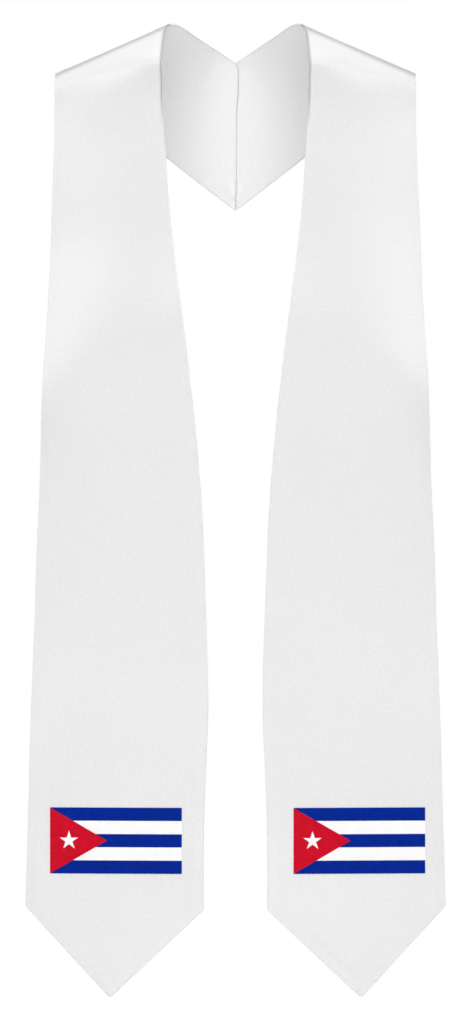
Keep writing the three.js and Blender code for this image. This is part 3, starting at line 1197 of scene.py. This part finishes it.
def add_softbox(name, azimuth, elevation, distance, width, height, power):
    """A softbox aimed at the middle of the stole, with the azimuth from the front to the right."""
    light = bpy.data.lights.new(name, "AREA")
    light.shape = "RECTANGLE"
    light.size = width
    light.size_y = height
    light.energy = power
    lamp = bpy.data.objects.new(name, light)
    scene.collection.objects.link(lamp)
    side_on, up = math.radians(azimuth), math.radians(elevation)
    x = distance * math.sin(side_on) * math.cos(up)
    y = -distance * math.cos(side_on) * math.cos(up)
    lamp.location = (x, y, LIGHT_AIM[2] + distance * math.sin(up))
    lamp.rotation_euler = (math.pi / 2 - up, 0, math.atan2(x, -y))
    lamp.visible_camera = False


SOFTBOXES = {
    "front": (0, 1, 2.8, 2.4, 2.4, 28),
    "left": (-80, 5, 2.4, 0.8, 1.6, 20),
    "right": (80, 5, 2.4, 0.8, 1.6, 20),
    "high_left": (-42, 35, 2.8, 0.9, 0.5, 5.5),
    "high_right": (42, 35, 2.8, 0.9, 0.5, 5.5),
    "top": (0, 62, 2.4, 1.4, 0.6, 21),
    "overhead": (0, 85, 2.2, 1.4, 0.6, 18),
    "back_top": (180, 80, 2.2, 1.4, 0.6, 3),
    "low": (0, -22, 2.6, 1.2, 0.6, 12.5),
}
for name, settings in SOFTBOXES.items():
    add_softbox(f"{name}_softbox", *settings)
print("softboxes:", len(SOFTBOXES))


# %% Make the white surroundings
def white_surroundings(from_below, from_behind):
    """White behind the stole, and for the light a dim room that is brighter below and behind."""
    world = bpy.data.worlds.new("white_studio")
    scene.world = world
    world.use_nodes = True
    tree = world.node_tree
    background = tree.nodes["Background"]
    background.inputs["Color"].default_value = (1, 1, 1, 1)
    direction = tree.nodes.new("ShaderNodeTexCoord")
    split = tree.nodes.new("ShaderNodeSeparateXYZ")
    tree.links.new(direction.outputs["Generated"], split.inputs[0])
    below = math_node(tree, "MULTIPLY", split.outputs[2], -from_below)
    behind = math_node(tree, "MULTIPLY", split.outputs[1], from_behind)
    fill = math_node(tree, "ADD", *(math_node(tree, "MAXIMUM", part, 0) for part in (below, behind)))
    seen = tree.nodes.new("ShaderNodeLightPath")
    strength = tree.nodes.new("ShaderNodeMix")
    tree.links.new(seen.outputs["Is Camera Ray"], strength.inputs["Factor"])
    tree.links.new(fill, strength.inputs["A"])
    strength.inputs["B"].default_value = 1.0
    tree.links.new(strength.outputs["Result"], background.inputs["Strength"])


white_surroundings(from_below=0.8, from_behind=1.1)
scene.view_settings.view_transform = "Standard"
print("surroundings:", scene.world.name)

# %% [markdown]
# ## The camera
#
# The photo looks at the stole squarely from the front, with the camera level and half-way down. It
# shows hardly any perspective, so a long lens from three metres away was chosen.

# %% Set up the camera
CAMERA_DISTANCE = 3.08
CAMERA_HEIGHT = -0.370
CAMERA_SHIFT = -0.0008

camera = bpy.data.objects.new("camera", bpy.data.cameras.new("camera"))
scene.collection.objects.link(camera)
scene.camera = camera
camera.data.lens = 135
camera.data.sensor_width = 36
camera.location = (CAMERA_SHIFT, -CAMERA_DISTANCE, CAMERA_HEIGHT)
camera.rotation_euler = (math.pi / 2, 0, 0)
print("camera at", tuple(round(value, 3) for value in camera.location))
